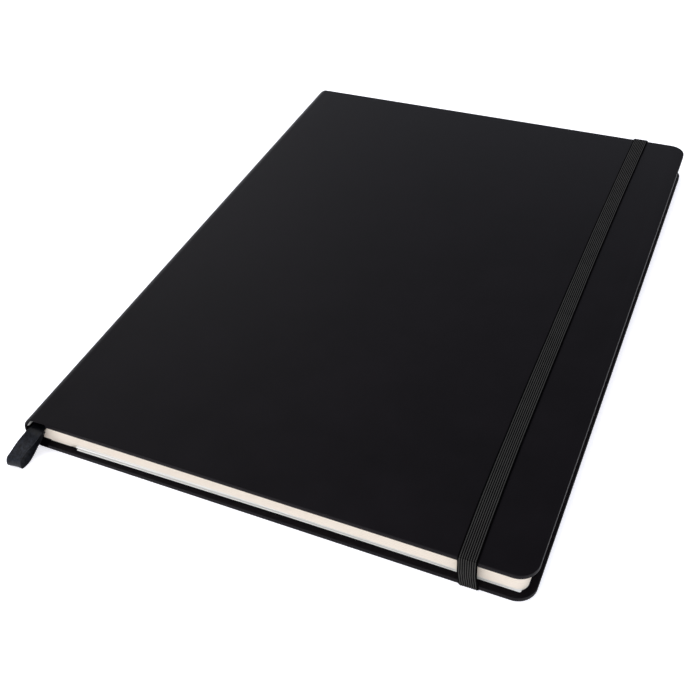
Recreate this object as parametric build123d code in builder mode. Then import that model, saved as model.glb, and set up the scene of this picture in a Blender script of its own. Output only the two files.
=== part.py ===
"""Casebound A4 sketchbook with a soft-touch case, sewn sections, an elastic strap, a ribbon and a back pocket.

The book lies on its back cover. The origin is the centre of the back cover's underside, +X runs from the
spine to the fore edge, +Y from the tail to the head, and +Z up through the pages. Lengths are in millimetres.
"""

import os
from math import atan2, degrees, hypot

from build123d import *

# Case
cover_width = 220.0
cover_height = 302.0
book_thickness = 16.4
cover_corner_radius = 8.0
wrap_thickness = 0.3
board_thickness = 1.6
pastedown_thickness = 0.2
turn_in = 15.0
flex_width = 4.0
flex_thickness = 0.9
case_thickness = 2 * wrap_thickness + board_thickness + pastedown_thickness

spine_x = -cover_width / 2
fore_x = cover_width / 2
head_y = cover_height / 2
front_hinge_x = spine_x + 5.0
back_hinge_x = spine_x + 2.5

# Hollow spine: two curls joined by one flatter arc, all tangent
curl_radius = 3.2
spine_bulge = 3.85
stiffener_thickness = 0.5

# Pages
page_height = 296.4
page_fore_x = fore_x - 3.1
page_corner_radius = 4.5
leaf_spine_x = front_hinge_x + 1.5
leaf_thickness = 0.2
leaf_gap = 0.08
section_count = 8
section_gap = 0.02
ribbon_slot = 0.36
block_bottom = 4.95
back_rounding = 2.0
thread_thickness = 0.3
thread_width = 0.8
sewing_stations = 6
lining_thickness = 0.25
band_trim = 22.0
endband_bead = 0.9
endband_length = 1.4

# Pocket on the inside of the back cover
pocket_spine_x = spine_x + 20.5
pocket_paper = 0.2
pocket_panel_thickness = 0.4
pocket_panel_top = 4.7
pocket_corner_radius = 0.8
gusset_width = 5.0

# Elastic strap and ribbon
strap_x = spine_x + 194.8
strap_width = 6.8
strap_thickness = 0.7
strap_slack = 0.05
strap_slit_inset = 20.0
ribbon_width = 6.5
ribbon_thickness = 0.25
ribbon_x = spine_x + 4.65

os.makedirs("parts", exist_ok=True)
written = []


def save(part, name):
    """Labels a finished piece and writes it as its own STEP file."""
    part.label = name
    export_step(part, f"parts/{name}.step")
    written.append(name)


def plate(x0, x1, height, radius, z0, z1):
    """A flat plate whose two fore-edge corners are rounded."""
    with BuildPart() as made:
        with BuildSketch(Plane.XY.offset(z0)):
            with Locations(((x0 + x1) / 2, 0)):
                Rectangle(x1 - x0, height)
        extrude(amount=z1 - z0)
        fore_corners = made.edges().filter_by(Axis.Z).group_by(Axis.X)[-1]
        fillet(fore_corners, radius=radius)
    return made.part


# Covers. Depths are counted from a cover's outer face towards the pages.


def levels(front, outer_depth, inner_depth):
    """The two heights of a layer of the front or back cover."""
    if front:
        return book_thickness - inner_depth, book_thickness - outer_depth
    return outer_depth, inner_depth


def cover_plate(front, hinge_x, inset, outer_depth, inner_depth):
    z0, z1 = levels(front, outer_depth, inner_depth)
    return plate(
        hinge_x,
        fore_x - inset,
        cover_height - 2 * inset,
        cover_corner_radius - min(inset, cover_corner_radius - 2.0),
        z0,
        z1,
    )


board_depth = wrap_thickness + board_thickness
wrap_depth = board_depth + wrap_thickness


def strap_channel(inset, depth):
    """The pressed channels under the back cover, from each edge to the slits."""
    with BuildPart() as made:
        for side in (-1, 1):
            length = strap_slit_inset + inset
            centre_y = side * (head_y - length / 2 + 1.0)
            with Locations((strap_x, centre_y, depth / 2 - 1.0)):
                Box(strap_width + 0.4 + 2 * inset, length + 2.0, depth + 2.0)
    return made.part


channel_depth = strap_thickness + strap_slack


def board(front, hinge_x):
    with BuildPart() as made:
        add(cover_plate(front, hinge_x + flex_width, wrap_thickness, wrap_thickness, board_depth))
        if not front:
            add(strap_channel(wrap_thickness, channel_depth + wrap_thickness), mode=Mode.SUBTRACT)
    return made.part


def wrap(front, hinge_x):
    """The soft-touch covering: outer face, edges, turned-in borders, and the flexible strip at the hinge."""
    with BuildPart() as made:
        add(cover_plate(front, hinge_x, 0.0, 0.0, wrap_depth))
        add(
            cover_plate(front, hinge_x + flex_width, wrap_thickness, wrap_thickness, board_depth),
            mode=Mode.SUBTRACT,
        )
        add(
            cover_plate(front, hinge_x + flex_width, turn_in, board_depth, wrap_depth),
            mode=Mode.SUBTRACT,
        )
        z0, z1 = levels(front, flex_thickness, wrap_depth)
        with Locations((hinge_x + flex_width / 2, 0, (z0 + z1) / 2)):
            Box(flex_width, cover_height, z1 - z0, mode=Mode.SUBTRACT)
        if not front:
            with BuildPart(mode=Mode.PRIVATE) as channel_lining:
                add(strap_channel(wrap_thickness, channel_depth + wrap_thickness))
                slab = cover_plate(front, hinge_x + flex_width, wrap_thickness, 0.0, board_depth)
                add(slab, mode=Mode.INTERSECT)
            add(channel_lining.part)
            add(strap_channel(0.0, channel_depth), mode=Mode.SUBTRACT)
    return made.part


def pastedown(front, hinge_x):
    """The endpaper glued inside a cover: it fills the window between the turn-ins and laps over them."""
    lap = 11.7
    with BuildPart() as made:
        add(cover_plate(front, hinge_x + flex_width, turn_in, board_depth, wrap_depth))
        add(cover_plate(front, hinge_x + flex_width, turn_in - lap, wrap_depth, case_thickness))
    return made.part


for front, side, hinge_x in ((True, "front", front_hinge_x), (False, "back", back_hinge_x)):
    save(board(front, hinge_x), f"{side}_board")
    save(wrap(front, hinge_x), f"{side}_cover_skin")
    save(pastedown(front, hinge_x), f"{side}_pastedown")


# Spine. Each layer is a band between two insets of one outline of tangent arcs.

mid_z = book_thickness / 2
curl_z = mid_z - curl_radius
curl_depth = back_hinge_x - spine_x + spine_bulge
side_radius = (curl_depth**2 + curl_z**2 - curl_radius**2) / (2 * (curl_depth - curl_radius))
side_centre_x = spine_x - spine_bulge + side_radius
curl_angle = degrees(atan2(curl_z, back_hinge_x - side_centre_x))


def spine_edge(inset):
    """The arcs of the spine's outline at one inset, from the front cover round to the back cover."""
    CenterArc((back_hinge_x, mid_z + curl_z), curl_radius - inset, 90, curl_angle - 90)
    CenterArc((side_centre_x, mid_z), side_radius - inset, curl_angle, 360 - 2 * curl_angle)
    CenterArc((back_hinge_x, mid_z - curl_z), curl_radius - inset, 360 - curl_angle, curl_angle - 90)


def spine_band(outer, inner, length, top_x=back_hinge_x):
    """A length of spine between two insets. top_x is where its upper edge meets the front cover."""
    with BuildPart() as made:
        with BuildSketch(Plane.XZ):
            with BuildLine():
                spine_edge(outer)
                spine_edge(inner)
                Line((back_hinge_x, outer), (back_hinge_x, inner))
                if top_x > back_hinge_x:
                    top, under = book_thickness - outer, book_thickness - inner
                    Polyline((back_hinge_x, top), (top_x, top), (top_x, under), (back_hinge_x, under))
                else:
                    Line((back_hinge_x, book_thickness - outer), (back_hinge_x, book_thickness - inner))
            make_face()
        extrude(amount=length / 2, both=True)
    return made.part


save(spine_band(0.0, wrap_thickness, cover_height, front_hinge_x), "spine_skin")
stiffener_inner = wrap_thickness + stiffener_thickness
save(spine_band(wrap_thickness, stiffener_inner, cover_height - 2.0), "spine_stiffener")


# Text block

leaf_names = ("front_flyleaf", "drawing_sheet_1", "drawing_sheet_2")
leaf_top = book_thickness - case_thickness - leaf_gap
leaf_pitch = leaf_thickness + leaf_gap
for number, name in enumerate(leaf_names):
    top = leaf_top - number * leaf_pitch
    leaf = plate(leaf_spine_x, page_fore_x, page_height, page_corner_radius, top - leaf_thickness, top)
    save(leaf, name)

sections_top = leaf_top - len(leaf_names) * leaf_pitch
sections_bottom = block_bottom + leaf_pitch
section_pitch = (sections_top - sections_bottom - ribbon_slot) / section_count
sewn_top = sections_bottom + (section_count - 1) * section_pitch - section_gap

# The rounded back of the sewn sections is an arc through their first and last folds.
half_chord = (sewn_top - sections_bottom) / 2
back_radius = (half_chord**2 + back_rounding**2) / (2 * back_rounding)
back_centre_z = (sewn_top + sections_bottom) / 2
back_centre_x = leaf_spine_x - 0.6 + (back_radius - back_rounding)
back_half_angle = degrees(atan2(half_chord, back_radius - back_rounding))


def sewn_section(z0, z1):
    """One folded section, its fold following the rounded back."""
    far_x = back_centre_x + 2 * cover_width
    with BuildPart() as made:
        add(plate(spine_x, page_fore_x, page_height, page_corner_radius, z0, z1))
        with BuildSketch(Plane.XZ):
            with Locations((back_centre_x, back_centre_z)):
                Circle(back_radius)
            with Locations(((back_centre_x + far_x) / 2, back_centre_z)):
                Rectangle(far_x - back_centre_x, 2 * back_radius)
        extrude(amount=page_height, both=True, mode=Mode.INTERSECT)
    return made.part


top_section = plate(
    leaf_spine_x,
    page_fore_x,
    page_height,
    page_corner_radius,
    sections_top - section_pitch,
    sections_top - section_gap,
)
save(top_section, "section_1")
for number in range(section_count - 1):
    z0 = sections_bottom + number * section_pitch
    save(sewn_section(z0, z0 + section_pitch - section_gap), f"section_{section_count - number}")

back_flyleaf = plate(
    leaf_spine_x, page_fore_x, page_height, page_corner_radius, block_bottom, block_bottom + leaf_thickness
)
save(back_flyleaf, "back_flyleaf")


def back_band(inner, outer, length):
    """A band round the block's rounded back, inner and outer millimetres outside the folds."""
    start = 180 - back_half_angle + band_trim
    span = 2 * (back_half_angle - band_trim)
    centre = (back_centre_x, back_centre_z)
    with BuildPart() as made:
        with BuildSketch(Plane.XZ):
            with BuildLine():
                near = CenterArc(centre, back_radius + inner, start, span)
                far = CenterArc(centre, back_radius + outer, start, span)
                Line(near @ 0, far @ 0)
                Line(near @ 1, far @ 1)
            make_face()
        extrude(amount=length / 2, both=True)
    return made.part


mull_outer = thread_thickness + lining_thickness
save(back_band(thread_thickness, mull_outer, page_height - 20.0), "spine_mull")
save(back_band(mull_outer, mull_outer + lining_thickness, page_height - 8.0), "spine_lining_paper")

station_pitch = (page_height - 40.0) / (sewing_stations - 1)
stitch = back_band(0.0, thread_thickness, thread_width)
with BuildPart() as sewing_thread:
    with GridLocations(0, station_pitch, 1, sewing_stations):
        add(stitch)
save(sewing_thread.part, "sewing_thread")

bead = back_band(-endband_bead, mull_outer + lining_thickness, endband_length)
for name, side in (("headband", 1), ("tailband", -1)):
    with BuildPart() as endband:
        with Locations((0, side * (page_height + endband_length) / 2, 0)):
            add(bead)
    save(endband.part, name)


# Pocket: a sheet glued to the back pastedown, a card panel hinged at the fore edge, and a gusset at each end

pocket_height = page_height - 0.4
pocket_fore_x = page_fore_x - 1.9
base_top = case_thickness + pocket_paper
panel_bottom = pocket_panel_top - pocket_panel_thickness
with BuildPart() as pocket_base:
    add(plate(pocket_spine_x, pocket_fore_x, pocket_height, pocket_corner_radius, case_thickness, base_top))
    wall_height = pocket_panel_top - base_top
    wall_length = pocket_height - 2 * pocket_corner_radius
    with Locations((pocket_fore_x - pocket_paper / 2, 0, base_top + wall_height / 2)):
        Box(pocket_paper, wall_length, wall_height)
save(pocket_base.part, "pocket_base")

panel_fore_x = pocket_fore_x - pocket_paper - 0.1
panel = plate(
    pocket_spine_x, panel_fore_x, pocket_height, pocket_corner_radius, panel_bottom, pocket_panel_top
)
save(panel, "pocket_panel")

gusset_length = panel_fore_x - page_corner_radius - pocket_spine_x
for name, side in (("pocket_gusset_head", 1), ("pocket_gusset_tail", -1)):
    with BuildPart() as gusset:
        place = (
            pocket_spine_x + gusset_length / 2,
            side * (pocket_height - gusset_width) / 2,
            (base_top + panel_bottom) / 2,
        )
        with Locations(place):
            Box(gusset_length, gusset_width, panel_bottom - base_top - 0.04)
    save(gusset.part, name)


# Elastic strap: an arch over the closed book, and its two ends under the back cover

strap_top = book_thickness + strap_slack + strap_thickness
with BuildPart() as elastic_strap:
    with BuildSketch(Plane.YZ.offset(strap_x)):
        outer_half = head_y + strap_slack + strap_thickness
        inner_half = head_y + strap_slack
        with Locations((0, (strap_top + channel_depth) / 2)):
            Rectangle(2 * outer_half, strap_top - channel_depth)
        with Locations((0, (book_thickness + strap_slack) / 2)):
            Rectangle(2 * inner_half, book_thickness + strap_slack, mode=Mode.SUBTRACT)
    extrude(amount=strap_width / 2, both=True)
    over_edges = elastic_strap.edges().filter_by(Axis.X).group_by(Axis.Z)[-1]
    fillet(over_edges, radius=strap_thickness * 0.8)
save(elastic_strap.part, "elastic_strap")

for name, side in (("strap_end_head", 1), ("strap_end_tail", -1)):
    run = strap_slit_inset - 1.0 + strap_slack + strap_thickness
    outer_y = head_y + strap_slack + strap_thickness
    with BuildPart() as strap_end:
        with Locations((strap_x, side * (outer_y - run / 2), strap_thickness / 2)):
            Box(strap_width, run, strap_thickness)
    save(strap_end.part, name)


# Ribbon: laid along the gutter under the first section, then looped down to the table and back into the book

ribbon_level = sewn_top + section_gap + ribbon_slot / 2
ribbon_route = (
    (-head_y + 8.0, ribbon_level),
    (-head_y - 0.8, ribbon_level),
    (-head_y - 4.4, 9.6),
    (-head_y - 9.0, 6.2),
    (-head_y - 13.9, 4.3),
    (-head_y - 14.6, 0.3),
    (-head_y - 9.6, 0.3),
    (-head_y - 5.8, 1.8),
    (-head_y - 3.2, 5.0),
    (-head_y - 1.4, 8.8),
    (-head_y + 1.2, 10.8),
)
ribbon_radii = [5.0, 12.0, 12.0, 1.9, 1.9, 5.0, 5.0, 8.0, 4.0]


def runs_fit(route, radii):
    """Prints the radius and the shorter run at each corner of the ribbon's route."""
    for before, corner, after, radius in zip(route, route[1:], route[2:], radii):
        runs = [hypot(a[0] - corner[0], a[1] - corner[1]) for a in (before, after)]
        print(f"ribbon corner at y {corner[0]:.1f}: radius {radius}, shorter run {min(runs):.1f}")


runs_fit(ribbon_route, ribbon_radii)
with BuildPart() as ribbon_bookmark:
    with BuildLine(Plane.YZ.offset(ribbon_x)) as ribbon_path:
        FilletPolyline(*ribbon_route, radius=ribbon_radii)
    with BuildSketch(Plane(origin=ribbon_path.line @ 0, z_dir=ribbon_path.line % 0, x_dir=(1, 0, 0))):
        Rectangle(ribbon_width, ribbon_thickness)
    sweep()
    inner_run = page_height - 8.0
    with Locations((ribbon_x, -head_y + 8.0 + inner_run / 2, ribbon_level)):
        Box(ribbon_width, inner_run, ribbon_thickness)
save(ribbon_bookmark.part, "ribbon_bookmark")

print(f"{len(written)} pieces written")
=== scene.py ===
from math import atan2, cos, pi, radians, sin, sqrt
from random import Random

import bmesh
import bpy
from mathutils import Matrix, Vector


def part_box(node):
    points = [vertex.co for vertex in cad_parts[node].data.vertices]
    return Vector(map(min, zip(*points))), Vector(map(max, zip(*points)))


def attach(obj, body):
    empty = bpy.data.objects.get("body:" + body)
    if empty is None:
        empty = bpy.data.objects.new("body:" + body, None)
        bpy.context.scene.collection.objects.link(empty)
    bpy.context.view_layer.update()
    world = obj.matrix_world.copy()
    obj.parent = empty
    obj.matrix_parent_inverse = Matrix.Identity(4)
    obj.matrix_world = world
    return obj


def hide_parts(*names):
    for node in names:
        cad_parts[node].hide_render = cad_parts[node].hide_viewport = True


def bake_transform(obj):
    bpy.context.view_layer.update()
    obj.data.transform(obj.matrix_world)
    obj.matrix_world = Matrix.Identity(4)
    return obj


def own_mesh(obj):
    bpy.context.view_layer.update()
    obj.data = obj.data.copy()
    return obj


# A casebound sketchbook lying on its back cover. Names ending in _mm are millimetres, and
# everything else is in metres in the frame of the CAD model: +X to the fore edge, +Y to the
# head, +Z up.

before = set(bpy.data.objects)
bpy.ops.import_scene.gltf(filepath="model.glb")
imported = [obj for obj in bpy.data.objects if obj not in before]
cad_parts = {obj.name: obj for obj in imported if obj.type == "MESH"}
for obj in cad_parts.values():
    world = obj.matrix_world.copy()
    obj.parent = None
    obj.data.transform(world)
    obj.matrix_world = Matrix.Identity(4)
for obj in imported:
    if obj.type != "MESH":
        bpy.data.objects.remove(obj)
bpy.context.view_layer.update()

MM = 0.001


def low(node):
    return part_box(node)[0]


def high(node):
    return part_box(node)[1]


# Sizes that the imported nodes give
hinge_x = low("front_cover_skin").x
back_hinge_x = low("back_cover_skin").x
fore_x = high("front_cover_skin").x
half_height = high("front_cover_skin").y
top_z = high("front_cover_skin").z
spine_left_x = low("spine_skin").x
page_half = high("section_1").y
page_fore_x = high("section_1").x
leaf_x = low("section_1").x
board_x = low("front_board").x
back_board_x = low("back_board").x

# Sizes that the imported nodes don't give: thicknesses, radii and laps of the case and the pages
wrap = 0.3 * MM
board_depth = 1.9 * MM
wrap_depth = 2.2 * MM
case_depth = 2.4 * MM
turn_in = 15.0 * MM
cover_radius = 8.0 * MM
page_radius = 4.5 * MM
pocket_radius = 0.8 * MM
curl_radius = 3.2 * MM
flex_depth = 0.9 * MM
spine_depth = 1.1 * MM
spine_lap = 12.0 * MM
card_margin = 1.0 * MM
edge_round = 0.45 * MM
inner_round = 0.18 * MM
border_depth = 2.38 * MM
border_width = 3.2 * MM

# The elastic strap: its place comes from the CAD, its ribs and its curve over the cover from here
strap_low, strap_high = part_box("elastic_strap")
strap_middle_x = (strap_low.x + strap_high.x) / 2
strap_width = strap_high.x - strap_low.x
strap_thickness = high("strap_end_head").z
slit_y = low("strap_end_head").y
strap_side_gap = 0.05 * MM
strap_top_gap = 0.04 * MM
strap_end_gap = 0.02 * MM
rib_count = 8
rib_samples = 8
rib_depth = 0.24 * MM
# Width of the strap's flat edges, which carry a near-black painted contact shadow.
painted_shadow_selvedge = 0.42 * MM
strap_bow = 0.85 * MM
head_swing = 1.55 * MM
tail_swing = 1.5 * MM
head_lean = 0.3 * MM
tail_lean = 0.95 * MM

# How far the lower leaves and the pocket sag at the fore edge and beside the pocket
fore_sag = 0.95 * MM
spine_sag = 2.25 * MM
sag_blend = 4.0 * MM
sag_levels = [z * MM for z in (2.6, 4.7, 5.2, 12.0)]


# ---------------------------------------------------------------- mesh helpers


def mesh_piece(name, points, faces, material, slot, sharp=radians(35)):
    """A smooth-shaded mesh whose edges are sharp where its faces turn by more than an angle."""
    mesh = bpy.data.meshes.new(name)
    mesh.from_pydata([tuple(p) for p in points], [], faces)
    mesh.validate()
    mesh.update()
    mesh.shade_smooth()
    mesh.set_sharp_from_angle(angle=sharp)
    mesh.materials.append(material)
    piece = bpy.data.objects.new(name, mesh)
    bpy.context.scene.collection.objects.link(piece)
    return piece


def loft(rings, closed=True, first_cap=True, last_cap=True):
    """Points and faces of a surface through rings of equal length, with its two end caps."""
    count = len(rings[0])
    points = [p for ring in rings for p in ring]
    faces = []
    for row in range(len(rings) - 1):
        for k in range(count if closed else count - 1):
            a, b = row * count + k, row * count + (k + 1) % count
            faces.append((a, b, b + count, a + count))
    if first_cap:
        faces.append(tuple(reversed(range(count))))
    if last_cap:
        start = (len(rings) - 1) * count
        faces.append(tuple(range(start, start + count)))
    return points, faces


def arc(centre, radius, start, end, steps):
    """Points on an arc in a plane, angles in degrees."""
    turns = [radians(start + (end - start) * k / steps) for k in range(steps + 1)]
    return [(centre[0] + radius * cos(t), centre[1] + radius * sin(t)) for t in turns]


def outline(x0, x1, half, radius, inset=0.0, spine_inset=0.0, steps=14, straight=1):
    """A page or cover, from the spine end of the tail round the fore edge to that of the head."""
    x1, half = x1 - inset, half - inset
    radius = max(radius - inset, 0.5 * MM)
    start = x0 + spine_inset
    tail = [(start + (x1 - radius - start) * k / straight, -half) for k in range(straight)]
    fore = arc((x1 - radius, -half + radius), radius, -90, 0, steps)
    head = arc((x1 - radius, half - radius), radius, 0, 90, steps)
    back = [(x, half) for x, _ in reversed(tail)]
    return tail + fore + head + back


def rounded_plate(name, x0, x1, half, radius, z0, z1, round_by, material, slot, straight=1):
    """A plate with all its edges rounded, its spine edge included."""
    rings = []
    steps = 3
    for z_edge, direction, turns in ((z0, 1, range(steps + 1)), (z1, -1, range(steps, -1, -1))):
        for k in turns:
            t = pi / 2 * k / steps
            inset = round_by * (1 - sin(t))
            z = z_edge + direction * round_by * (1 - cos(t))
            ring = outline(x0, x1, half, radius, inset, inset, straight=straight)
            rings.append([(x, y, z) for x, y in ring])
    return mesh_piece(name, *loft(rings), material, slot)


def fix_normals(piece):
    """Turns every face outwards."""
    made = bmesh.new()
    made.from_mesh(piece.data)
    bmesh.ops.recalc_face_normals(made, faces=made.faces)
    made.to_mesh(piece.data)
    made.free()


def apply_boolean(piece, cutter, operation):
    """Cuts or joins with an exact boolean, and removes the cutter."""
    modifier = piece.modifiers.new("cut", "BOOLEAN")
    modifier.object = cutter
    modifier.operation = operation
    modifier.solver = "EXACT"
    graph = bpy.context.evaluated_depsgraph_get()
    made = bpy.data.meshes.new_from_object(piece.evaluated_get(graph))
    piece.modifiers.clear()
    piece.data = made
    bpy.data.objects.remove(cutter)


def box_piece(low_corner, high_corner):
    """A plain box for booleans."""
    xs, ys, zs = zip(low_corner, high_corner)
    ring = [(0, 0), (1, 0), (1, 1), (0, 1)]
    points, faces = loft([[(xs[i], ys[j], z) for i, j in ring] for z in zs])
    mesh = bpy.data.meshes.new("cutter")
    mesh.from_pydata(points, [], faces)
    cutter = bpy.data.objects.new("cutter", mesh)
    bpy.context.scene.collection.objects.link(cutter)
    return cutter


# ---------------------------------------------------------------- materials


class Nodes:
    """Short calls for building one material's node tree."""

    def __init__(self, name, roughness, colour=None, **sockets):
        self.material = bpy.data.materials.new(name)
        self.material.use_nodes = True
        self.tree = self.material.node_tree
        self.shader = self.tree.nodes["Principled BSDF"]
        self.shader.inputs["Roughness"].default_value = roughness
        if colour:
            self.shader.inputs["Base Color"].default_value = (*colour, 1)
        for socket, value in sockets.items():
            self.shader.inputs[socket.replace("_", " ")].default_value = value
        self.place = self.tree.nodes.new("ShaderNodeTexCoord").outputs["Object"]

    def add(self, kind, **values):
        """A node with its properties and its sockets' values set by name."""
        node = self.tree.nodes.new(kind)
        for key, value in values.items():
            if hasattr(node, key):
                setattr(node, key, value)
            else:
                node.inputs[key.replace("_", " ")].default_value = value
        return node

    def link(self, output, target):
        self.tree.links.new(output, target)

    def stretched(self, scale):
        """Object coordinates scaled along each axis."""
        mapping = self.add("ShaderNodeMapping")
        mapping.inputs["Scale"].default_value = scale
        self.link(self.place, mapping.inputs["Vector"])
        return mapping.outputs["Vector"]

    def noise(self, scale, detail=3.0, roughness=0.5, vector=None):
        """Cloudy values round 0.5."""
        node = self.add("ShaderNodeTexNoise", Scale=scale, Detail=detail, Roughness=roughness)
        self.link(vector or self.place, node.inputs["Vector"])
        return node.outputs["Fac"]

    def wave(self, scale, direction, distortion=0.0):
        """Parallel bands across one axis."""
        node = self.add(
            "ShaderNodeTexWave", bands_direction=direction, Scale=scale, Distortion=distortion
        )
        self.link(self.place, node.inputs["Vector"])
        return node.outputs["Fac"]

    def ramp(self, value, stops):
        """Colours or greys at places from 0 to 1."""
        node = self.add("ShaderNodeValToRGB")
        elements = node.color_ramp.elements
        while len(elements) < len(stops):
            elements.new(0.5)
        for element, (at, colour) in zip(elements, stops):
            element.position = at
            rgb = colour if hasattr(colour, "__len__") else (colour, colour, colour)
            element.color = (*rgb, 1)
        self.link(value, node.inputs["Fac"])
        return node.outputs["Color"]

    def times(self, a, b):
        node = self.add("ShaderNodeMath", operation="MULTIPLY")
        for value, socket in ((a, node.inputs[0]), (b, node.inputs[1])):
            if isinstance(value, (int, float)):
                socket.default_value = value
            else:
                self.link(value, socket)
        return node.outputs["Value"]

    def plus(self, a, b):
        node = self.add("ShaderNodeMath", operation="ADD")
        self.link(a, node.inputs[0])
        self.link(b, node.inputs[1])
        return node.outputs["Value"]

    def mix(self, share, a, b):
        """Colour a mixed with colour b by share."""
        node = self.add("ShaderNodeMix", data_type="RGBA")
        self.link(share, node.inputs[0])
        for value, socket in ((a, node.inputs[6]), (b, node.inputs[7])):
            if hasattr(value, "__len__"):
                socket.default_value = (*value, 1)
            else:
                self.link(value, socket)
        return node.outputs[2]

    def base(self, colour):
        self.link(colour, self.shader.inputs["Base Color"])

    def rough(self, value):
        self.link(value, self.shader.inputs["Roughness"])

    def bump(self, height, depth, strength=1.0):
        node = self.add("ShaderNodeBump", Strength=strength, Distance=depth)
        self.link(height, node.inputs["Height"])
        self.link(node.outputs["Normal"], self.shader.inputs["Normal"])


def soft_touch_material():
    """Matte imitation leather: fine pebbling, faint mottling, and a few pale specks."""
    n = Nodes("soft_touch_black", 0.5, Specular_IOR_Level=0.075)
    mottle = n.noise(38.0, 4.0, 0.55)
    grain = n.noise(5200.0, 2.0, 0.6)
    pebble = n.noise(1700.0, 3.0, 0.5)
    dark, light = (0.0014, 0.0007, 0.0014), (0.0036, 0.0025, 0.0037)
    tone = n.ramp(mottle, [(0.25, dark), (0.75, light)])
    specks = n.add("ShaderNodeTexVoronoi", feature="F1", Scale=95.0)
    n.link(n.place, specks.inputs["Vector"])
    speck_mask = n.ramp(specks.outputs["Distance"], [(0.0, 1.0), (0.022, 0.0)])
    picked = n.ramp(n.noise(61.0, 1.0), [(0.60, 0.0), (0.64, 1.0)])
    n.base(n.mix(n.times(speck_mask, picked), tone, (0.020, 0.019, 0.021)))
    shine = n.plus(n.times(mottle, 0.35), n.times(grain, 0.65))
    n.rough(n.ramp(shine, [(0.3, 0.46), (0.7, 0.55)]))
    n.bump(n.plus(n.times(grain, 0.45), pebble), 0.05 * MM, 0.7)
    return n.material


def paper_material(name, pale, deep, fibre=0.012):
    """Uncoated paper. Fine lines across its thickness show only on its edges."""
    n = Nodes(name, 0.88, Specular_IOR_Level=0.25)
    sheets = n.noise(1.0, 2.0, 0.6, n.stretched((30, 30, 4500)))
    cloud = n.noise(55.0, 5.0, 0.6)
    fibres = n.noise(2600.0, 4.0, 0.65)
    grain = n.plus(n.times(fibres, 0.42), n.times(cloud, 0.13))
    n.base(n.mix(n.plus(n.times(sheets, 0.45), grain), deep, pale))
    n.bump(n.plus(fibres, n.times(sheets, 0.8)), fibre * MM, 0.5)
    return n.material


def elastic_material():
    """Ribbed elastic: spun yarn over rubber, with picks across the ribs."""
    n = Nodes(
        "elastic_black", 0.75, Specular_IOR_Level=0.1, Sheen_Weight=0.02, Sheen_Roughness=0.45
    )
    picks = n.wave(430.0, "Y", 1.5)
    upright = n.wave(430.0, "Z", 1.5)
    fuzz = n.noise(6500.0, 3.0, 0.7)
    drift = n.noise(160.0, 3.0, 0.5)
    yarn = n.plus(n.times(n.times(picks, upright), 0.6), n.times(drift, 0.4))
    n.base(n.mix(yarn, (0.012, 0.0118, 0.011), (0.052, 0.050, 0.047)))
    n.bump(n.plus(n.times(picks, 0.7), n.times(fuzz, 0.8)), 0.05 * MM, 0.7)
    return n.material


def painted_shade_material():
    """Near-black painted shade for the grooves between the ribs, and a painted contact shadow on the
    flat edges.
    """
    n = Nodes("elastic_painted_shade", 0.8, Specular_IOR_Level=0.01)
    dark, light = (0.0004, 0.0004, 0.0004), (0.0012, 0.0012, 0.0013)
    n.base(n.ramp(n.noise(900.0, 3.0), [(0.3, dark), (0.7, light)]))
    n.bump(n.noise(4000.0, 3.0), 0.03 * MM, 0.5)
    return n.material


def satin_material():
    """Blue-black satin with long floats and an uneven gloss, with painted shade that darkens it
    towards the tail edge, under the cover.
    """
    n = Nodes(
        "satin_ribbon", 0.36, Specular_IOR_Level=0.10, Sheen_Weight=0.01, Sheen_Roughness=0.35
    )
    floats = n.noise(1.0, 3.0, 0.6, n.stretched((5200, 500, 500)))
    crush = n.noise(700.0, 4.0, 0.65)
    worn = n.ramp(n.plus(n.times(floats, 0.4), n.times(crush, 0.6)), [(0.40, 0.0), (0.62, 1.0)])
    # Painted shade: the colour darkens over the last 8 mm of the loop towards the tail edge, where
    # the cover's overhang shades the ribbon.
    axes = n.add("ShaderNodeSeparateXYZ")
    n.link(n.place, axes.inputs["Vector"])
    painted_overhang_shade = n.add(
        "ShaderNodeMapRange",
        From_Min=-half_height,
        From_Max=-half_height - 8 * MM,
        To_Min=0.1,
        To_Max=1.0,
    )
    n.link(axes.outputs["Y"], painted_overhang_shade.inputs["Value"])
    # The random mottle times the painted shade.
    mottle_and_painted_shade = n.times(worn, painted_overhang_shade.outputs["Result"])
    n.base(n.mix(mottle_and_painted_shade, (0.0006, 0.0007, 0.0014), (0.018, 0.021, 0.029)))
    n.rough(n.ramp(crush, [(0.3, 0.28), (0.75, 0.5)]))
    n.bump(n.plus(n.times(floats, 0.7), crush), 0.05 * MM, 0.6)
    return n.material


def board_material(name, dark, light):
    """Pressed grey or brown pulp with flecks."""
    n = Nodes(name, 0.93, Specular_IOR_Level=0.15)
    flecks = n.noise(900.0, 6.0, 0.7)
    layers = n.noise(1.0, 2.0, 0.5, n.stretched((60, 60, 4200)))
    n.base(n.mix(n.plus(n.times(flecks, 0.65), n.times(layers, 0.35)), dark, light))
    n.bump(flecks, 0.05 * MM, 0.6)
    return n.material


def woven_material(name, dark, light, pitch, roughness=0.85):
    """Plain weave: two crossed sets of threads."""
    n = Nodes(name, roughness, Specular_IOR_Level=0.25, Sheen_Weight=0.15)
    bands_per_scale = 0.314
    warp, weft = (n.wave(bands_per_scale / pitch, axis, 0.8) for axis in "XY")
    crossed = n.plus(n.times(warp, 0.5), n.times(weft, 0.5))
    wisps = n.noise(2400.0, 4.0, 0.6)
    n.base(n.mix(n.plus(n.times(crossed, 0.7), n.times(wisps, 0.3)), dark, light))
    n.bump(n.plus(crossed, n.times(wisps, 0.5)), 0.06 * MM, 0.7)
    return n.material


def floor_material():
    """Matte white paper, lit a little from within so that it stays white round the object."""
    n = Nodes(
        "studio_floor",
        0.9,
        Specular_IOR_Level=0.1,
        Emission_Color=(0.97, 0.96, 1.0, 1),
        Emission_Strength=0.55,
    )
    n.base(n.ramp(n.noise(3.0, 2.0), [(0.3, (0.90, 0.90, 0.905)), (0.7, (0.92, 0.92, 0.925))]))
    return n.material


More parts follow.
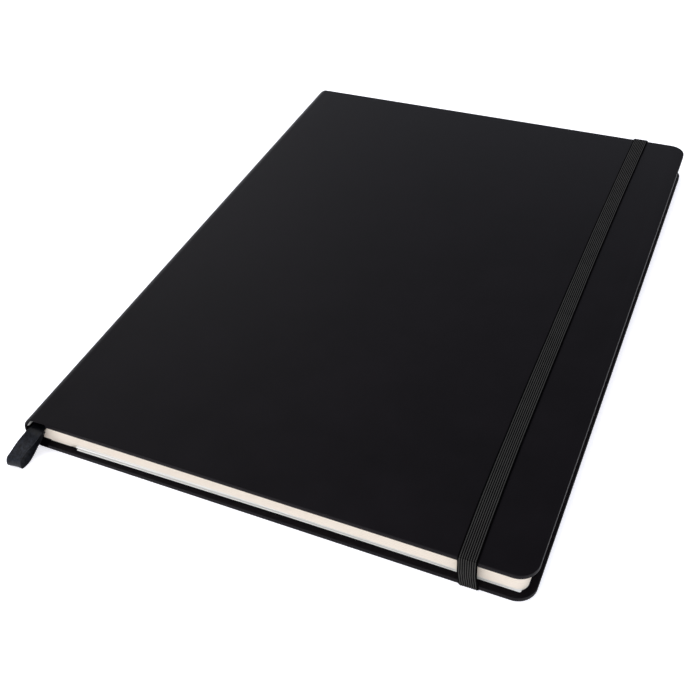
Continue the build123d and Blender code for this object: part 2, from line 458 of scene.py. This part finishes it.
soft_touch = soft_touch_material()
drawing_paper = paper_material("cream_drawing_paper", (0.93, 0.865, 0.785), (0.80, 0.725, 0.63))
endpaper = paper_material("cream_endpaper", (0.90, 0.85, 0.775), (0.83, 0.775, 0.69))
pocket_card = paper_material("white_card", (0.95, 0.94, 0.915), (0.86, 0.85, 0.82))
elastic = elastic_material()
painted_shade_elastic = painted_shade_material()
satin = satin_material()
greyboard = board_material("greyboard", (0.26, 0.24, 0.21), (0.44, 0.41, 0.36))
spine_card = board_material("spine_card", (0.22, 0.19, 0.16), (0.36, 0.32, 0.27))
kraft = board_material("kraft_paper", (0.38, 0.27, 0.16), (0.60, 0.46, 0.30))
gusset_cloth = woven_material("white_book_cloth", (0.74, 0.73, 0.69), (0.93, 0.92, 0.88), 0.35 * MM)
gauze = woven_material("starched_gauze", (0.55, 0.51, 0.42), (0.84, 0.80, 0.70), 0.9 * MM)
linen = woven_material("linen_thread", (0.66, 0.62, 0.52), (0.90, 0.87, 0.78), 0.25 * MM)
endband_cloth = woven_material(
    "black_endband", (0.010, 0.010, 0.012), (0.05, 0.05, 0.056), 0.3 * MM, 0.6
)


# ---------------------------------------------------------------- camera

# The photograph's viewpoint, from fitting the cover's four corners
camera_place = Vector((0.14429, -0.35473, 0.31281))
camera_azimuth = radians(27.303)
camera_elevation = radians(42.463)
camera_roll = radians(-4.756)
focal_share = 989.52 / 700
shift_right = 0.0217
shift_up = 0.0018


def make_camera():
    """The camera at the photograph's viewpoint."""
    data = bpy.data.cameras.new("camera")
    data.sensor_width = 36.0
    data.lens = data.sensor_width * focal_share
    data.shift_x = shift_right
    data.shift_y = shift_up
    data.clip_start = 0.02
    data.clip_end = 20.0
    forward = Vector(
        (
            -sin(camera_azimuth) * cos(camera_elevation),
            cos(camera_azimuth) * cos(camera_elevation),
            -sin(camera_elevation),
        )
    )
    level = forward.cross(Vector((0, 0, 1))).normalized()
    upright = level.cross(forward)
    right = level * cos(camera_roll) + upright * sin(camera_roll)
    up = right.cross(forward)
    turn = Matrix((right, up, -forward)).transposed().to_4x4()
    camera = bpy.data.objects.new("camera", data)
    bpy.context.scene.collection.objects.link(camera)
    camera.matrix_world = Matrix.Translation(camera_place) @ turn
    bpy.context.scene.camera = camera


make_camera()


# ---------------------------------------------------------------- ribbon

ribbon_width = 6.6 * MM
ribbon_thickness = 0.28 * MM
tail_y = -half_height
# The ribbon's route as x, y from the tail edge, and z: out of the pages, down and back under itself
ribbon_route_mm = (
    (-105.35, 8.0, 11.96),
    (-105.4, 1.0, 12.1),
    (-106.2, -2.2, 11.6),
    (-108.0, -4.6, 9.2),
    (-109.8, -7.6, 7.2),
    (-110.2, -11.2, 5.9),
    (-110.1, -14.4, 5.6),
    (-110.9, -14.9, 0.16),
    (-109.9, -10.5, 0.2),
    (-110.1, -6.8, 0.9),
    (-109.8, -3.4, 2.9),
    (-109.3, -1.3, 4.6),
    (-108.2, 0.6, 7.0),
    (-106.9, 1.1, 9.8),
)
ribbon_turn_reach = 6.0 * MM
ribbon_taper = 4.0 * MM


def spline_points(route, per_span=6):
    """Points along the smooth spline that has the route's points as its control points."""
    data = bpy.data.curves.new("route", "CURVE")
    data.dimensions = "3D"
    spline = data.splines.new("NURBS")
    spline.points.add(len(route) - 1)
    for point, place in zip(spline.points, route):
        point.co = (*place, 1)
    spline.order_u = 3
    spline.use_endpoint_u = True
    spline.resolution_u = per_span
    carrier = bpy.data.objects.new("route", data)
    mesh = bpy.data.meshes.new_from_object(carrier)
    points = [v.co.copy() for v in mesh.vertices]
    bpy.data.meshes.remove(mesh)
    bpy.data.objects.remove(carrier)
    bpy.data.curves.remove(data)
    return points


def tangents(points):
    """The direction along a line at each of its points."""
    ends = list(zip([points[0]] + points[:-1], points[1:] + [points[-1]]))
    return [(b - a).normalized() for a, b in ends]


def band_rings(points, across, half_widths, profile):
    """Rings of a band's cross-section, given as (share of half width, offset along the normal)."""
    rings = []
    for point, along, side, half in zip(points, tangents(points), across, half_widths):
        side = (side - along * side.dot(along)).normalized()
        normal = side.cross(along)
        rings.append([point + side * half * u + normal * offset for u, offset in profile])
    return rings


def make_ribbon():
    """The loop of ribbon that hangs out at the tail, and its run between the pages."""
    route = [Vector((x * MM, tail_y + y * MM, z * MM)) for x, y, z in ribbon_route_mm]
    points = spline_points(route, 8)
    length = sum((b - a).length for a, b in zip(points, points[1:]))
    turned = Vector((0.994, 0.105, 0.0))
    level = Vector((1, 0, 0))
    across = []
    widths = []
    done = 0.0
    last = points[0]
    for point in points:
        done += (point - last).length
        last = point
        out = min(1.0, max(0.0, (tail_y - point.y) / ribbon_turn_reach))
        across.append(level.lerp(turned, out))
        tucked = min(1.0, max(0.0, (done - length + ribbon_taper) / ribbon_taper))
        widths.append(ribbon_width / 2 * (1 - 0.15 * tucked))
    steps = 14
    crown = 0.14 * MM
    upper = []
    under = []
    for k in range(steps + 1):
        u = -1 + 2 * k / steps
        middle = crown * (1 - u * u)
        thick = ribbon_thickness * (0.7 if k in (0, steps) else 1.0)
        upper.append((u, middle + thick / 2))
        under.append((u, middle - thick / 2))
    rings = band_rings(points, across, widths, upper + under[::-1])
    piece = mesh_piece("ribbon_bookmark_loop", *loft(rings), satin, "ribbon")
    fix_normals(piece)
    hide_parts("ribbon_bookmark")
    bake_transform(piece)
    gutter = rounded_plate(
        "ribbon_gutter_run",
        route[0].x - ribbon_width / 2,
        route[0].x + ribbon_width / 2,
        page_half - 2 * MM,
        0.6 * MM,
        route[0].z - ribbon_thickness / 2,
        route[0].z + ribbon_thickness / 2,
        0.1 * MM,
        satin,
        "ribbon",
    )
    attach(gutter, "text_block")


make_ribbon()


# ---------------------------------------------------------------- covers


def depth_to_z(front):
    """Heights from depths below a cover's outer face."""
    return (lambda depth: top_z - depth) if front else (lambda depth: depth)


def cover_profile():
    """(inset, depth) round a cover's wrapped edge: outer face, edge, border and turn-in."""
    steps = 5
    points = []
    for k in range(steps + 1):
        t = pi / 2 * k / steps
        points.append((edge_round * (1 - sin(t)), edge_round * (1 - cos(t))))
    for k in range(steps + 1):
        t = pi / 2 * k / steps
        points.append((inner_round * (1 - cos(t)), border_depth - inner_round * (1 - sin(t))))
    lip = 0.08 * MM
    points += [(border_width - lip, border_depth), (border_width, border_depth - lip)]
    points += [(border_width, wrap_depth)]
    points += [(turn_in - lip, wrap_depth), (turn_in, wrap_depth - lip), (turn_in, board_depth)]
    points += [(wrap, board_depth), (wrap, wrap)]
    return points


def make_cover(front):
    """A cover's wrapped covering and its pastedown."""
    name = "front" if front else "back"
    body = f"{name}_cover"
    x0 = board_x if front else back_board_x
    height = depth_to_z(front)
    rings = []
    for inset, depth in cover_profile():
        edge = outline(x0, fore_x, half_height, cover_radius, inset)
        ring = [(x, y, height(depth)) for x, y in edge]
        rings.append(ring if front else ring[::-1])
    points, faces = loft(rings, closed=False)
    count = len(rings[0])
    near = [row * count for row in range(len(rings))]
    far = [row * count + count - 1 for row in range(len(rings))]
    faces.append(tuple(near + far[::-1]))
    skin = mesh_piece(f"{name}_cover_wrap", points, faces, soft_touch, "soft_touch_cover")
    fix_normals(skin)
    if not front:
        press_strap_channels(skin)
    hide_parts(f"{name}_cover_skin")
    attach(skin, body)
    make_pastedown(name, body, x0, height)


def strap_shift(y, z):
    """How far the strap is from its straight line: it bows over the cover and leans on the edges."""
    share = min(1.0, abs(y) / half_height)
    down = max(0.0, 1 - z / top_z) if abs(y) > half_height - 1 * MM else 0.0
    if y > 0:
        return -strap_bow + head_swing * share**2 + head_lean * down
    return -strap_bow + tail_swing * share**4 + tail_lean * max(0.0, 2 * down - 1)


def strap_end_x(side):
    return strap_middle_x + strap_shift(side * (half_height + 1 * MM), 0.0)


def press_strap_channels(skin):
    """The channels pressed into the back cover for the strap's ends, lined with covering."""
    half = strap_width / 2 + 0.25 * MM
    floor = strap_thickness + 0.05 * MM
    for side in (-1, 1):
        near, far = sorted((side * (slit_y - wrap), side * (half_height - wrap / 2)))
        middle = strap_end_x(side)
        wide = half + wrap
        tray = box_piece((middle - wide, near, wrap / 2), (middle + wide, far, floor + wrap))
        apply_boolean(skin, tray, "UNION")
        near, far = sorted((side * slit_y, side * (half_height + 1 * MM)))
        cut = box_piece((middle - half, near, -1 * MM), (middle + half, far, floor))
        apply_boolean(skin, cut, "DIFFERENCE")
    skin.data.shade_smooth()
    skin.data.set_sharp_from_angle(angle=radians(25))


def make_pastedown(name, body, x0, height):
    """The endpaper on a cover's inner face, sunk a little where the turned-in border stops."""
    lap = 3.3 * MM
    bevel = 0.05 * MM
    sink = 0.12 * MM
    profile = [(turn_in, board_depth), (turn_in, wrap_depth), (lap, wrap_depth)]
    profile += [(lap, case_depth - bevel), (lap + bevel, case_depth)]
    profile += [(turn_in - 0.3 * MM, case_depth), (turn_in + 1.2 * MM, case_depth - sink)]
    rings = []
    for inset, depth in profile:
        spine_inset = 0.0 if inset < turn_in - 1 * MM else bevel
        ring = outline(x0, fore_x, half_height, cover_radius, inset, spine_inset)
        rings.append([(x, y, height(depth)) for x, y in ring])
    piece = mesh_piece(f"{name}_paste_paper", *loft(rings), endpaper, "endpaper")
    fix_normals(piece)
    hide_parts(f"{name}_pastedown")
    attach(piece, body)


make_cover(True)
make_cover(False)


# ---------------------------------------------------------------- spine and joints


def spine_outline(inset=0.0, steps=10):
    """(x, z) round the spine, from the front hinge to the back hinge."""
    middle = top_z / 2
    rise = middle - curl_radius
    depth = back_hinge_x - spine_left_x
    side_radius = (depth**2 + rise**2 - curl_radius**2) / (2 * (depth - curl_radius))
    side_x = spine_left_x + side_radius
    turn = atan2(rise, back_hinge_x - side_x) * 180 / pi
    upper = arc((back_hinge_x, middle + rise), curl_radius - inset, 90, turn, steps)
    side = arc((side_x, middle), side_radius - inset, turn, 360 - turn, 2 * steps)
    lower = arc((back_hinge_x, middle - rise), curl_radius - inset, 360 - turn, 270, steps)
    return [(hinge_x, top_z - inset)] + upper + side[1:] + lower[1:]


def spine_profile(thick, lap, card_room):
    """(y, depth) across the covering at the spine: wrapped round its card at the head and tail."""
    end = half_height
    steps = 4
    head = []
    for k in range(steps + 1):
        t = pi / 2 * k / steps
        head.append((end - thick / 2 * (1 - sin(t)), thick / 2 * (1 - cos(t))))
    for k in range(1, steps + 1):
        t = pi / 2 * k / steps
        head.append((end - thick / 2 * (1 - cos(t)), thick / 2 * (1 + sin(t))))
    head.append((end - lap, thick))
    if card_room:
        card_end = end - card_margin
        head += [(end - lap, thick - wrap), (card_end, thick - wrap), (card_end, wrap)]
    return head + [(-y, depth) for y, depth in reversed(head)]


def bend_spine(piece):
    """Bakes a spine piece's transform into its mesh."""
    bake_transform(piece)


def make_spine_card():
    """The flexible card inside the covering at the spine."""
    slack = 0.02 * MM
    outer = spine_outline(wrap + slack)[1:]
    inner = spine_outline(spine_depth - wrap - slack)[1:]
    end = half_height - card_margin - slack
    spans = 12
    rows = [-end + 2 * end * k / spans for k in range(spans + 1)]
    rings = []
    for y in rows:
        rings.append([(x, y, z) for x, z in outer] + [(x, y, z) for x, z in reversed(inner)])
    piece = mesh_piece("spine_card_curve", *loft(rings), spine_card, "spine_card")
    fix_normals(piece)
    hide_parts("spine_stiffener")
    bend_spine(piece)


def make_spine():
    """The covering round the spine, turned in over its card at both ends."""
    profile = spine_profile(spine_depth, spine_lap, True)
    insets = [depth for _, depth in profile]
    lines = {inset: spine_outline(inset) for inset in set(insets)}
    rings = []
    for k in range(len(spine_outline())):
        rings.append([(lines[depth][k][0], y, lines[depth][k][1]) for y, depth in profile])
    piece = mesh_piece("spine_covering", *loft(rings), soft_touch, "soft_touch_cover")
    fix_normals(piece)
    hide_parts("spine_skin")
    bend_spine(piece)


def make_joint_strip(front):
    """The flexible strip of covering between the spine and a board."""
    x0, x1 = (hinge_x, board_x) if front else (back_hinge_x, back_board_x)
    height = depth_to_z(front)
    profile = spine_profile(flex_depth, spine_lap, False)
    columns = 14
    rings = []
    for k in range(columns + 1):
        x = x0 + (x1 - x0) * k / columns
        rings.append([(x, y, height(depth)) for y, depth in profile])
    name = "front_joint_strip" if front else "back_joint_strip"
    piece = mesh_piece(name, *loft(rings), soft_touch, "soft_touch_cover")
    fix_normals(piece)
    if front:
        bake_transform(piece)
    else:
        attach(piece, "back_cover")


def make_liner_end():
    """The pale paper that lines the spine, showing in a small point at the tail."""
    inset = 1.16 * MM
    thick = 0.16 * MM
    steps = 24
    depth_in = 14 * MM
    outer, inner = spine_outline(inset, steps), spine_outline(inset + thick, steps)
    lowest, highest = top_z / 2 + 1.2 * MM, top_z / 2 + 3.6 * MM
    columns = [k for k, (x, z) in enumerate(outer) if x < back_hinge_x and lowest < z < highest]
    rings = []
    for n, k in enumerate(columns):
        share = n / (len(columns) - 1)
        reach = 0.7 * MM + 3.4 * MM * abs(share - 0.5) ** 1.2
        near, far = -half_height + reach, -half_height + depth_in
        ring = [(outer[k][0], near, outer[k][1]), (outer[k][0], far, outer[k][1])]
        ring += [(inner[k][0], far, inner[k][1]), (inner[k][0], near, inner[k][1])]
        rings.append(ring)
    piece = mesh_piece("spine_liner_tail", *loft(rings), pocket_card, "lining_paper")
    fix_normals(piece)
    bend_spine(piece)


make_spine()
make_spine_card()
make_liner_end()
make_joint_strip(True)
make_joint_strip(False)


# ---------------------------------------------------------------- pages

leaves_per_section = 8
page_columns = 60


def settle(piece):
    """Lowers the last leaves and the pocket at the fore edge, and the leaves beside the pocket."""
    base, panel, first, last = sag_levels
    pocket_x = low("pocket_panel").x
    for vertex in piece.data.vertices:
        x, z = vertex.co.x, vertex.co.z
        reach = min(1.0, max(0.0, (x - leaf_x) / (page_fore_x - leaf_x)))
        if z < first:
            share = min(1.0, max(0.0, (z - base) / (panel - base)))
        else:
            share = max(0.0, (last - z) / (last - first))
        beside = min(1.0, max(0.0, (pocket_x + 0.3 * MM - x) / sag_blend))
        beside = beside * beside * (3 - 2 * beside)
        vertex.co.z = z - fore_sag * share * reach * reach - spine_sag * share * beside
    piece.data.update()


def section_start(number):
    """Where a section's fold is. The lowest folds step out towards the back hinge."""
    last_straight = 5
    step_out = 0.4 * MM
    if number <= last_straight:
        return low(f"section_{number}").x
    return low(f"section_{last_straight}").x - step_out * (number - last_straight)


def make_section(number):
    """A sewn section whose leaves show as separate edges, a little out of line with each other."""
    node = f"section_{number}"
    random = Random(number)
    z0, z1 = low(node).z, high(node).z
    pitch = (z1 - z0) / leaves_per_section
    groove = 0.10 * MM
    rings = []
    for leaf in range(leaves_per_section):
        slip = random.uniform(0.0, 0.14) * MM
        across = leaf / (leaves_per_section - 1) * 2 - 1
        creep = 0.10 * MM * (across * across)
        fold = 0.30 * MM * (1 - sqrt(max(0.0, 1 - (across * 0.98) ** 2)))
        for share, back in ((0.10, groove), (0.30, 0.0), (0.70, 0.0), (0.90, groove)):
            ring = outline(
                section_start(number),
                page_fore_x,
                page_half,
                page_radius,
                slip + creep + back,
                fold + back,
                straight=page_columns,
            )
            rings.append([(x, y, z0 + (leaf + share) * pitch) for x, y in ring])
    piece = mesh_piece(f"{node}_leaves", *loft(rings), drawing_paper, "drawing_paper", radians(60))
    fix_normals(piece)
    settle(piece)
    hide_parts(node)
    return piece


def turning_leaf(node, material, slot, reach):
    """A single leaf, with its columns close together over a reach beside the fold."""
    bend_steps, flat_steps, corner_steps = 24, 8, 12
    z0, z1 = low(node).z, high(node).z
    corner_x = page_fore_x - page_radius
    columns = [leaf_x + reach * k / bend_steps for k in range(bend_steps + 1)]
    flat = corner_x - leaf_x - reach
    columns += [leaf_x + (reach + flat * k / flat_steps) for k in range(1, flat_steps + 1)]
    corner_y = page_half - page_radius
    fore = arc((corner_x, -corner_y), page_radius, -90, 0, corner_steps)[1:]
    head = arc((corner_x, corner_y), page_radius, 0, 90, corner_steps)
    points = []
    faces = []
    thick = 0.13 * MM
    middle = (z0 + z1) / 2
    rows = [-page_half, page_half]
    for x in columns:
        points += [(x, y, middle + dz) for y in rows for dz in (-thick / 2, thick / 2)]
    for k in range(len(columns) - 1):
        a, b = 4 * k, 4 * (k + 1)
        faces += [(a, a + 2, b + 2, b), (a + 1, b + 1, b + 3, a + 3)]
        faces += [(a, b, b + 1, a + 1), (a + 2, a + 3, b + 3, b + 2)]
    faces.append((0, 1, 3, 2))
    last = 4 * (len(columns) - 1)
    cap_under = [last]
    cap_upper = [last + 1]
    for x, y in fore + head[:-1]:
        cap_under.append(len(points))
        points.append((x, y, middle - thick / 2))
        cap_upper.append(len(points))
        points.append((x, y, middle + thick / 2))
    cap_under.append(last + 2)
    cap_upper.append(last + 3)
    faces += [tuple(cap_upper), tuple(reversed(cap_under))]
    for k in range(len(cap_under) - 1):
        faces.append((cap_under[k], cap_under[k + 1], cap_upper[k + 1], cap_upper[k]))
    piece = mesh_piece(f"{node}_paper", points, faces, material, slot)
    fix_normals(piece)
    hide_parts(node)
    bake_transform(piece)
    return piece


for number in range(1, 9):
    section = make_section(number)
    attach(section, "first_section" if number == 1 else "text_block")
turning_leaf("front_flyleaf", endpaper, "endpaper", 3.6 * MM)
turning_leaf("drawing_sheet_1", drawing_paper, "drawing_paper", 3.8 * MM)
turning_leaf("drawing_sheet_2", drawing_paper, "drawing_paper", 4.0 * MM)

back_leaf = rounded_plate(
    "back_flyleaf_paper",
    leaf_x,
    page_fore_x,
    page_half,
    page_radius,
    low("back_flyleaf").z,
    high("back_flyleaf").z,
    0.06 * MM,
    endpaper,
    "endpaper",
    straight=page_columns,
)
settle(back_leaf)
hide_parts("back_flyleaf")
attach(back_leaf, "text_block")


# ---------------------------------------------------------------- endbands


def make_endband(node):
    """A bead wound with thread, following the rounded back at one end."""
    box_low, box_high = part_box(node)
    centre_z = (box_low.z + box_high.z) / 2
    bead, thread = 0.62 * MM, 0.07 * MM
    centre_x = box_high.x + 1.1 * MM
    reach = centre_x - (box_low.x + 0.75 * MM)
    middle_y = (box_low.y + box_high.y) / 2
    span = 78.0
    turns = 26
    per_turn = 8
    rings = []
    for k in range(turns * per_turn + 1):
        t = radians(180 - span / 2 + span * k / (turns * per_turn))
        radius = bead + thread * abs(sin(pi * k / per_turn))
        out = Vector((cos(t), 0, sin(t)))
        middle = Vector((centre_x, middle_y, centre_z)) + out * reach
        ring = [
            middle + out * radius * cos(a) + Vector((0, radius * sin(a), 0))
            for a in (2 * pi * j / 12 for j in range(12))
        ]
        rings.append(ring)
    piece = mesh_piece(f"{node}_bead", *loft(rings), endband_cloth, "endband_cloth")
    fix_normals(piece)
    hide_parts(node)
    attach(piece, "text_block")


make_endband("headband")
make_endband("tailband")


# ---------------------------------------------------------------- pocket


def flare(piece):
    """Spreads the pocket's tail edge outwards towards its spine end."""
    start, spread, reach = low("pocket_panel").x, 1.05 * MM, 100 * MM
    for vertex in piece.data.vertices:
        share = max(0.0, 1 - (vertex.co.x - start) / reach)
        if vertex.co.y < -0.5 * half_height:
            vertex.co.y -= spread * share
    piece.data.update()


def make_pocket_base():
    """The pocket's base sheet, glued to the endpaper."""
    base_low, base_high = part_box("pocket_base")
    top = low("pocket_gusset_tail").z
    base = rounded_plate(
        "pocket_base_card",
        base_low.x,
        base_high.x,
        base_high.y,
        pocket_radius,
        base_low.z,
        top,
        0.05 * MM,
        pocket_card,
        "pocket_card",
        straight=12,
    )
    flare(base)
    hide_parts("pocket_base")
    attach(base, "back_cover")


def make_pocket():
    """The pocket's base, its panel and its two gussets."""
    make_pocket_base()
    panel_low, panel_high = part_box("pocket_panel")
    panel = rounded_plate(
        "pocket_panel_card",
        panel_low.x,
        panel_high.x,
        panel_high.y,
        pocket_radius,
        panel_low.z,
        panel_high.z,
        0.10 * MM,
        pocket_card,
        "pocket_card",
        straight=12,
    )
    settle(panel)
    flare(panel)
    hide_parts("pocket_panel")
    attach(panel, "pocket_panel")
    for node, side in (("pocket_gusset_head", 1), ("pocket_gusset_tail", -1)):
        make_gusset(node, side, panel_low.z)


def make_gusset(node, side, panel_z):
    """Pleated cloth between base and panel: it folds inwards once."""
    box_low, box_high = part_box(node)
    thick = 0.22 * MM
    outer = side * (box_high.y if side > 0 else -box_low.y)
    depth = side * (box_high.y - box_low.y - 0.4 * MM)
    z0, z1 = box_low.z, panel_z - 0.02 * MM
    middle = (z0 + z1) / 2
    line = [
        (outer, z0 + thick / 2),
        (outer - depth * 0.5, z0 + thick * 0.8),
        (outer - depth, middle - thick * 0.55),
        (outer - depth, middle + thick * 0.55),
        (outer - depth * 0.5, z1 - thick * 0.8),
        (outer, z1 - thick / 2),
    ]
    ring_side = [(y, z - thick / 2) for y, z in line]
    ring_back = [(y + side * 0.05 * MM, z + thick / 2) for y, z in reversed(line)]
    rings = []
    columns = 40
    for k in range(columns + 1):
        x = box_low.x + (box_high.x - box_low.x) * k / columns
        ripple = 0.12 * MM * sin(k * 0.9) * side
        rings.append([(x, y - abs(ripple) * side, z) for y, z in ring_side + ring_back])
    piece = mesh_piece(f"{node}_cloth", *loft(rings), gusset_cloth, "gusset_cloth")
    fix_normals(piece)
    settle(piece)
    flare(piece)
    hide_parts(node)
    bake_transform(piece)


make_pocket()


# ---------------------------------------------------------------- elastic strap


def strap_profile(thickness):
    """Ribs between two flat selvedges on both faces, as (share of half width, offset)."""
    half = thickness / 2
    count = rib_count * rib_samples
    edge = 1 + 2 * painted_shadow_selvedge / strap_width
    flat = half - rib_depth
    upper = [(-edge, 0.6 * flat)]
    for k in range(count + 1):
        u = -1 + 2 * k / count
        rib = abs(sin(pi * k / rib_samples)) ** 0.6
        upper.append((u, half - rib_depth * (1 - rib)))
    upper.append((edge, 0.6 * flat))
    return upper + [(u, -offset) for u, offset in reversed(upper)]


def strap_path():
    """Up from the tail, over the cover and down at the head."""
    half = strap_thickness / 2
    side_y = half_height + strap_side_gap + half
    over_z = top_z + strap_top_gap + half
    turn = edge_round + half
    rise = [strap_thickness + (over_z - turn - strap_thickness) * k / 14 for k in range(14)]
    tail_side = [(-side_y, z) for z in rise]
    tail_arc = arc((-side_y + turn, over_z - turn), turn, 180, 90, 8)
    inner = side_y - turn
    across = [(-inner + 2 * inner * k / 150, over_z) for k in range(1, 150)]
    head_arc = arc((side_y - turn, over_z - turn), turn, 90, 0, 8)
    head_side = [(side_y, z) for z in reversed(rise)]
    line = tail_side + tail_arc + across + head_arc + head_side
    return [Vector((strap_middle_x + strap_shift(y, z), y, z)) for y, z in line]


def band_along(name, points, profile, slot):
    """The band's ribs in spun yarn, with painted shade in its grooves and a painted contact shadow
    on its flat edges.
    """
    across = [Vector((-1, 0, 0))] * len(points)
    wander = [0.006 * sin(0.21 * k) + 0.004 * sin(0.57 * k) for k in range(len(points))]
    widths = [strap_width / 2 * (1 + share) for share in wander]
    rings = band_rings(points, across, widths, profile)
    piece = mesh_piece(name, *loft(rings), elastic, slot, radians(80))
    piece.data.materials.append(painted_shade_elastic)
    count = len(profile)
    # Faces in the grooves take the near-black material as painted shade; the flat edges take it too,
    # as a painted contact shadow beside the strap.
    for face in piece.data.polygons[: (len(points) - 1) * count]:
        place = face.index % count % (count // 2)
        edge_gets_painted_shadow = place in (0, count // 2 - 2, count // 2 - 1)
        share = (place - 1) % rib_samples
        groove_gets_painted_shade = share in (0, 1, rib_samples - 2, rib_samples - 1)
        face.material_index = 1 if edge_gets_painted_shadow or groove_gets_painted_shade else 0
    fix_normals(piece)
    return piece


def make_strap():
    """The band over the closed book, and its two ends under the back cover."""
    profile = strap_profile(strap_thickness)
    piece = band_along("elastic_strap_band", strap_path(), profile, "elastic")
    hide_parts("elastic_strap")
    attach(piece, "strap")
    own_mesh(piece)
    for node, side in (("strap_end_head", 1), ("strap_end_tail", -1)):
        make_strap_end(node, side, profile)


def make_strap_end(node, side, profile):
    """The strap's end: round the cover's lower edge, along its channel and up through its slit."""
    half = strap_thickness / 2
    side_y = half_height + strap_side_gap + half
    run_z = turn = half + strap_end_gap
    corner = arc((side_y - turn, run_z + turn), turn, 0, -90, 6)
    bend = 1.2 * MM
    inner = slit_y + bend
    spans = 12
    length = inner - side_y + turn
    run = [(side_y - turn + length * k / spans, run_z) for k in range(1, spans + 1)]
    rise = arc((inner, run_z + bend), bend, -90, -150, 5)[1:]
    line = corner + run + rise
    points = [Vector((strap_end_x(side), side * y, z)) for y, z in line]
    piece = band_along(f"{node}_band", points, profile, "elastic")
    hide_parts(node)
    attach(piece, "back_cover")


make_strap()


# ---------------------------------------------------------------- CAD nodes that stay


def finish_node(node, material):
    """Gives a node that keeps its CAD shape its material."""
    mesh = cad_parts[node].data
    mesh.materials.clear()
    mesh.materials.append(material)


for node in ("front_board", "back_board"):
    finish_node(node, greyboard)
finish_node("spine_mull", gauze)
finish_node("spine_lining_paper", kraft)
finish_node("sewing_thread", linen)


# ---------------------------------------------------------------- studio


def make_floor():
    """A wide plain floor."""
    reach = 40.0
    corners = [(-reach, -reach, 0), (reach, -reach, 0), (reach, reach, 0), (-reach, reach, 0)]
    mesh = bpy.data.meshes.new("floor")
    mesh.from_pydata(corners, [], [(0, 1, 2, 3)])
    mesh.materials.append(floor_material())
    floor = bpy.data.objects.new("floor", mesh)
    bpy.context.scene.collection.objects.link(floor)


def area_light(name, place, aim, size, power, colour=(1, 1, 1)):
    """A rectangular soft light at a place, turned to its aim."""
    data = bpy.data.lights.new(name, "AREA")
    data.shape = "RECTANGLE"
    data.size, data.size_y = size
    data.energy = power
    data.color = colour
    light = bpy.data.objects.new(name, data)
    bpy.context.scene.collection.objects.link(light)
    light.location = place
    light.rotation_mode = "QUATERNION"
    light.rotation_quaternion = (Vector(aim) - Vector(place)).to_track_quat("-Z", "Y")


def make_light():
    """A pale room and three soft lights."""
    world = bpy.data.worlds.new("studio")
    world.use_nodes = True
    background = world.node_tree.nodes["Background"]
    background.inputs["Color"].default_value = (0.86, 0.90, 1.0, 1)
    background.inputs["Strength"].default_value = 0.72
    bpy.context.scene.world = world
    warm, soft = (1.0, 0.98, 0.95), (1.0, 0.99, 0.97)
    area_light("overhead_softbox", (-0.9, -0.5, 1.2), (0, 0, 0), (1.2, 1.2), 9.0, warm)
    area_light("left_glow", (-1.6, 1.4, 1.3), (0, 0, 0), (1.4, 1.6), 10.0)
    area_light("front_fill", (0.25, -1.5, 0.45), (0, 0, 0.01), (1.6, 0.7), 8.5, soft)


def pale_view():
    """Plain display colours, so that the white floor stays white."""
    view = bpy.context.scene.view_settings
    view.view_transform = "Standard"
    view.look = "None"


make_floor()
make_light()
pale_view()
